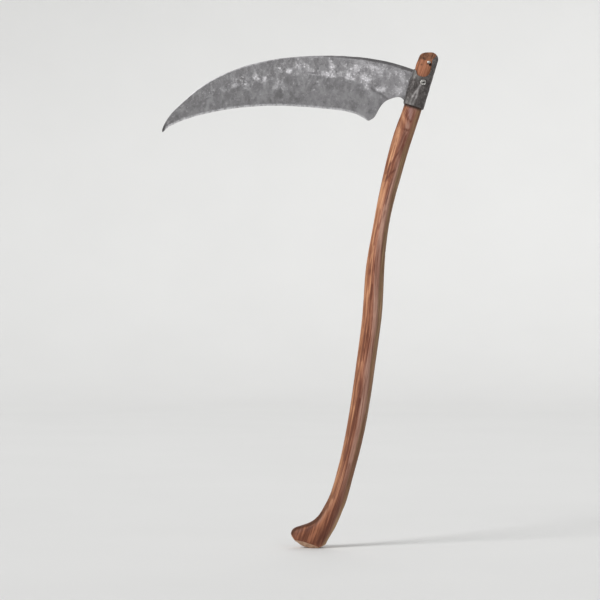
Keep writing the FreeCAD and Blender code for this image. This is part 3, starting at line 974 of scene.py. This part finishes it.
def oiled_wood():
    g = Graph("oiled_wood")
    grain = g.mark("grain", "Vector")
    side, butt, figure, rim = g.marks("side", "butt", "figure", "rim")
    broad = g.noise(grain, (150, 70, 9), 3, 0.55, 0.3)
    bands = g.noise(grain, (290, 120, 11), 3, 0.6, 0.4, shift=(3.1, 1.7, 0.4))
    lines = g.noise(grain, (640, 260, 16), 3, 0.6, 0.3, shift=(0.6, 5.2, 8.4))
    streaks = g.noise(grain, (1200, 500, 22), 3, 0.6)
    pores = g.spread(g.noise(grain, (2300, 1400, 130), 2), 0.58, 0.72)
    wobble = g.noise(grain, (90, 90, 10), 2)
    weave = g.weighted((bands, 0.50), (lines, 0.30), (streaks, 0.20), (figure, 0.10))

    # Four tints from the left flank to the right, each from its dark grain to its light. They are partly
    # the wood's own colour and partly painted light and shade: the left is lighter as if lit, the mauve
    # band right of the middle is a painted sheen, and the olive right flank is darker with painted shade.
    place = g.plus(side, g.spread(wobble, 0, 1, -0.13, 0.13))
    calm = g.spread(place, 0.55, 0.85, 1, 0.62)
    tone = g.spread(g.times(g.minus(weave, 0.5), calm), -0.150, 0.140)
    left = g.ramp(tone, (0.05, (106, 58, 38)), (0.35, (142, 88, 62)), (0.60, (175, 118, 84)),
                  (0.95, (228, 168, 124)))
    inner = g.ramp(tone, (0.05, (94, 48, 34)), (0.35, (128, 76, 56)), (0.60, (155, 102, 79)),
                   (0.95, (196, 140, 111)))
    mauve = g.ramp(tone, (0.05, (92, 54, 44)), (0.35, (142, 101, 85)), (0.95, (182, 146, 130)))
    olive = g.ramp(tone, (0.05, (88, 58, 38)), (0.40, (122, 92, 64)), (0.95, (162, 132, 98)))
    rear = g.plus(g.mark("rear"), g.spread(bands, 0.25, 0.75, -0.45, 0.45))
    base = g.stain(
        g.mix(g.spread(place, 0.24, 0.46), left, inner),
        # the mauve band, a painted sheen
        (g.spread(place, 0.45, 0.58), 0.9, mauve),
        (g.spread(place, 0.72, 0.84), 1, olive),
        (g.spread(rear, 0.15, 0.95), 1, inner),
        (g.spread(broad, 0.45, 0.70), 0.28, (140, 80, 56)),
        # painted shade, darker towards the bottom of the haft
        (g.mark("held"), 0.33, (98, 54, 32)),
        (g.spread(g.axis("Z"), 0.350, 0.385), 0.34, (118, 64, 42)),
        (g.mark("mauve_eye"), 0.85, (156, 118, 111)),
        (pores, 0.42, (72, 40, 28)),
    )

    # The butt, its grain darker with painted shade towards the bottom, with a pale heel and a dark upper
    # edge of painted shade.
    flame = g.weighted((broad, 0.40), (bands, 0.38), (lines, 0.22), (figure, 0.115))
    butt_grain_shaded = g.ramp(g.spread(flame, 0.36, 0.66), (0.05, (88, 45, 28)), (0.45, (110, 61, 40)),
                     (0.95, (148, 91, 64)))
    base = g.stain(
        base,
        (g.spread(side, 0.87, 0.70), g.times(butt, 0.88), butt_grain_shaded),
        (g.spread(side, 0.76, 0.90), g.times(butt, 0.7), (168, 134, 98)),
        # painted shade on surfaces facing up and to the left, darkest on the butt
        (rim, 0.30, (132, 98, 78)),
        (g.times(g.spread(rim, 0.45, 1), butt), 0.70, (60, 34, 23)),
    )

    # The head, the sawn ends, the painted shadow under the socket and the painted shade in the pits.
    strong = g.spread(weave, 0.42, 0.58)
    base = g.stain(
        base,
        (g.mark("head"), 0.85, g.mix(strong, (130, 80, 54), (184, 120, 86))),
        (g.mark("butt_end"), 1, g.mix(g.spread(broad, 0.35, 0.65), (203, 167, 139), (172, 134, 110))),
        (g.mark("head_end"), 0.9, g.mix(strong, (80, 50, 34), (124, 82, 56))),
        (g.mark("socket_gap"), 0.88, (52, 34, 28)),
        # painted shade in the pits, darker where they are deeper
        (g.spread(g.mark("pits"), 0, 1), 0.92, (44, 25, 18)),
    )

    rough = g.spread(weave, 0.40, 0.60, 0.60, 0.46)
    rough = g.plus(rough, g.weighted((g.mark("butt_end"), 0.25), (g.mark("head_end"), 0.2)))
    normal = g.bump(g.minus(g.times(weave, 1.2), g.times(pores, 0.8)), 0.22, 0.7)
    shine = g.spread(rim, 0, 1, 0.36, 0.14)
    return g.surface(base_color=base, roughness=rough, normal=normal, specular_ior_level=shine)


def forged_steel():
    g = Graph("forged_steel")
    place = g.position()
    ground, spine_shade, edge, bloom = g.marks("ground", "spine_shade", "edge", "bloom")
    clouds = g.noise(place, 48, 3, 0.55, 0.3, shift=(0.13, 0, 0.31))
    patches = g.noise(place, 130, 5, 0.62, 0.3, shift=(0.3, 0.1, 0.2))
    flecks = g.noise(place, 340, 3, 0.60, shift=(0.5, 0.2, 0.7))
    fine = g.noise(place, 950, 3, 0.6)
    specks = g.noise(place, 420, 3, 0.55, shift=(0.7, 0, 0.4))
    smears = g.noise(place, (105, 60, 62), 4, 0.62, 0.5)
    stains = g.noise(place, 150, 4, 0.6, shift=(0.1, 0.5, 0.9))
    haze = g.noise(place, (86, 60, 46), 4, 0.60, 0.4, shift=(0.9, 0.3, 0.6))
    scratches = g.noise(place, (90, 400, 2600), 3, 0.6)

    # Forge scale, worn bright in patches, with a painted highlight along the ridge that comes in with
    # bloom.
    halo = g.times(bloom, g.spread(clouds, 0.30, 0.62, 0.25, 1))
    pale = g.spread(g.weighted((patches, 0.62), (flecks, 0.38), (bloom, 0.20)), 0.50, 0.80)
    sparks = g.plus(flecks, g.times(bloom, 0.13))
    base = g.stain(
        g.mix(g.spread(g.axis("X"), -0.30, 0.08), (142, 141, 143), (160, 158, 161)),
        (g.spread(clouds, 0.38, 0.62), 0.60, (124, 122, 123)),
        (g.spread(smears, 0.42, 0.66), 0.60, (180, 179, 181)),
        (g.spread(fine, 0.35, 0.70), 0.30, (184, 182, 185)),
        (g.spread(halo, 0.15, 0.90), 0.50, (190, 188, 192)),
        (pale, 0.90, (218, 216, 219)),
        (g.spread(sparks, 0.665, 0.77), 0.8, (246, 245, 248)),
        (g.spread(stains, 0.54, 0.70), 0.45, (104, 102, 104)),
        (g.spread(specks, 0.66, 0.72), 0.4, (88, 85, 85)),
    )

    # The ground bevel, then the honed edge with its painted highlight, the spine's band of painted shade
    # and the painted highlight line under it.
    worn = g.times(g.spread(patches, 0.36, 0.58, 0.40, 1), g.spread(flecks, 0.36, 0.60, 0.55, 1))
    # the honed edge's colour: partly bare honed steel, partly a painted highlight
    honed_and_highlight = g.times(g.times(g.spread(edge, 0.0044, 0.0014), worn), g.mark("honed_and_highlight"))
    base = g.stain(
        base,
        (ground, 0.20, (132, 131, 133)),
        (ground, g.spread(haze, 0.49, 0.68, 0, 0.75), (176, 175, 177)),
        (ground, g.spread(haze, 0.48, 0.32, 0, 0.50), (110, 109, 110)),
        (ground, g.spread(scratches, 0.35, 0.75, 0, 0.22), (168, 167, 170)),
        (g.mark("crease"), 0.55, (84, 80, 82)),
        (honed_and_highlight, 0.95, (212, 211, 214)),
        (spine_shade, 0.75, (92, 90, 90)),
        # the painted highlight line under the spine
        (g.times(g.mark("wear_and_highlight"), worn), 0.60, (206, 204, 208)),
        (g.mark("tip"), 0.8, (62, 60, 60)),
    )

    rough = g.minus(g.spread(pale, 0, 1, 0.44, 0.60), g.times(ground, 0.05))
    metal = g.spread(g.math("MAXIMUM", pale, honed_and_highlight), 0, 1, 0.85, 0.40)
    height = g.plus(patches, g.times(fine, 0.35))
    height = g.minus(height, g.times(g.spread(specks, 0.64, 0.74), 0.6))
    height = g.times(height, g.spread(ground, 0, 1, 1, 0.35))
    height = g.plus(height, g.times(g.times(scratches, ground), 0.12))
    return g.surface(base_color=base, roughness=rough, metallic=metal, normal=g.bump(height, 0.35, 0.8))


def dark_iron():
    g = Graph("dark_iron")
    place = g.position()
    seam, hollow, neck, across, along = g.marks("seam", "hollow", "neck", "across", "along")
    clouds = g.noise(place, 170, 5, 0.65, 0.3)
    fine = g.noise(place, 1400, 3, 0.6)
    # lighter patches of wear on the socket
    wear_and_highlight = g.noise(place, 330, 4, 0.62, shift=(0.2, 0.4, 0.1))

    # The left of the socket's front is lighter near both ends and shaded further round.
    crown = g.spread(along, 0.039, 0.047)
    foot = g.spread(along, 0.012, 0.004, 0, 0.35)
    ends = g.math("MAXIMUM", g.times(crown, 0.55), foot)
    base = g.stain(
        g.ramp(clouds, (0.30, (71, 67, 66)), (0.50, (92, 87, 86)), (0.68, (119, 115, 113))),
        (g.spread(across, -0.004, -0.011), 0.38, (54, 52, 51)),
        (g.spread(across, 0.004, -0.006), ends, (134, 132, 130)),
        (hollow, 0.5, (58, 55, 54)),
        (g.spread(wear_and_highlight, 0.52, 0.70), 0.38, (142, 140, 137)),
        (g.math("MINIMUM", g.times(seam, 1.10), 1), 1, (190, 186, 185)),
        # painted highlight on the raised lip where the blade's neck enters
        (neck, g.spread(crown, 0, 1, 0.12, 0.65), (182, 180, 181)),
        (g.spread(fine, 0.58, 0.72), 0.35, (52, 48, 46)),
    )
    rough = g.minus(g.spread(clouds, 0.3, 0.7, 0.62, 0.46), g.times(seam, 0.10))
    normal = g.bump(g.plus(wear_and_highlight, g.times(fine, 0.4)), 0.3, 0.8)
    return g.surface(base_color=base, roughness=rough, metallic=0.85, normal=normal)


def worn_iron():
    if "worn_iron" in bpy.data.materials:
        return bpy.data.materials["worn_iron"]
    g = Graph("worn_iron")
    place = g.position()
    clouds = g.noise(place, 500, 4, 0.6)
    fine = g.noise(place, 2200, 3, 0.6)
    base = g.stain(
        g.mix(g.spread(clouds, 0.35, 0.65), (160, 157, 153), (232, 230, 226)),
        (g.spread(fine, 0.58, 0.70), 0.4, (84, 78, 74)),
        # painted shade on the fasteners
        (g.mark("cavity"), 0.93, (26, 23, 22)),
    )
    rough = g.spread(clouds, 0.3, 0.7, 0.50, 0.34)
    normal = g.bump(g.plus(clouds, g.times(fine, 0.4)), 0.3, 0.7)
    return g.surface(base_color=base, roughness=rough, metallic=0.9, normal=normal)


def dry_wood():
    g = Graph("dry_wood")
    streaks = g.noise(g.position(), (60, 900, 900), 4, 0.6)
    base = g.mix(g.spread(streaks, 0.3, 0.7), (190, 150, 104), (140, 100, 66))
    rough = g.spread(streaks, 0.2, 0.8, 0.62, 0.8)
    return g.surface(base_color=base, roughness=rough, normal=g.bump(streaks, 0.3, 0.8))


def pale_floor():
    g = Graph("pale_floor")
    base = g.mix(g.noise(g.position(), 3, 2), (214, 214, 213), (218, 218, 217))
    return g.surface(base_color=base, roughness=0.85, specular_ior_level=0.2)


# ---------------- stage, light and camera

FRAME_HEIGHT = 960 * MM        # height of the picture at the blade's plane
FRAME_CENTRE = (-101.6 * MM, 128.8 * MM)
LENS = 135.0
SENSOR = 36.0


def make_stage():
    """A round floor that curves up into a low wall on every side."""
    flat = 4.6
    corner = 2.2
    steps = 16
    profile = [(0.0, 0.0), (0.5, 0.0), (1.5, 0.0), (3.0, 0.0), (flat, 0.0)]
    for step in range(1, steps + 1):
        angle = math.pi / 2 * step / steps
        profile.append((flat + corner * math.sin(angle), corner * (1 - math.cos(angle))))
    profile.append((flat + corner, corner + 0.4))

    def place(radius, height, angle):
        return radius * math.cos(angle), radius * math.sin(angle), cad_low.z + height

    mesh = ring_mesh("floor", profile, place, 96)
    mesh.shade_smooth()
    mesh.materials.append(pale_floor())
    add_object("floor", mesh)


def add_sun(name, azimuth, elevation, strength, softness):
    """A large soft lamp far away. Azimuth 0 is the front and 90 the right."""
    lamp = bpy.data.lights.new(name, "SUN")
    lamp.energy = strength
    lamp.angle = math.radians(softness)
    holder = add_object(name, lamp)
    side = math.radians(azimuth)
    up = math.radians(elevation)
    place = Vector((math.sin(side) * math.cos(up), -math.cos(side) * math.cos(up), math.sin(up)))
    holder.location = place * 5
    holder.rotation_euler = (-place).to_track_quat("-Z", "Y").to_euler()


def make_light():
    add_sun("key", -52.0, 38.0, 2.3, 24.0)
    add_sun("fill", 46.0, 24.0, 0.7, 40.0)
    add_sun("back", 165.0, 40.0, 0.7, 40.0)
    world = bpy.data.worlds.new("soft_room")
    bpy.context.scene.world = world
    world.use_nodes = True
    background = world.node_tree.nodes["Background"]
    background.inputs[0].default_value = (1.0, 1.0, 1.0, 1.0)
    background.inputs[1].default_value = 0.36


def make_camera():
    """Straight from the front, as far away as the lens needs to frame the tool."""
    camera = bpy.data.cameras.new("camera")
    camera.lens = LENS
    camera.sensor_width = SENSOR
    holder = add_object("camera", camera)
    distance = FRAME_HEIGHT / 2 / (SENSOR / 2 / LENS)
    holder.location = (FRAME_CENTRE[0], -distance, FRAME_CENTRE[1])
    holder.rotation_euler = (math.pi / 2, 0.0, 0.0)
    camera.clip_start = 0.05
    camera.clip_end = 60.0
    bpy.context.scene.camera = holder
    bpy.context.scene.view_settings.view_transform = "Standard"


make_camera()
make_haft()
make_blade()
make_socket()
make_rivet()
make_rove()
make_nails()
finish_wedge()
make_stage()
make_light()
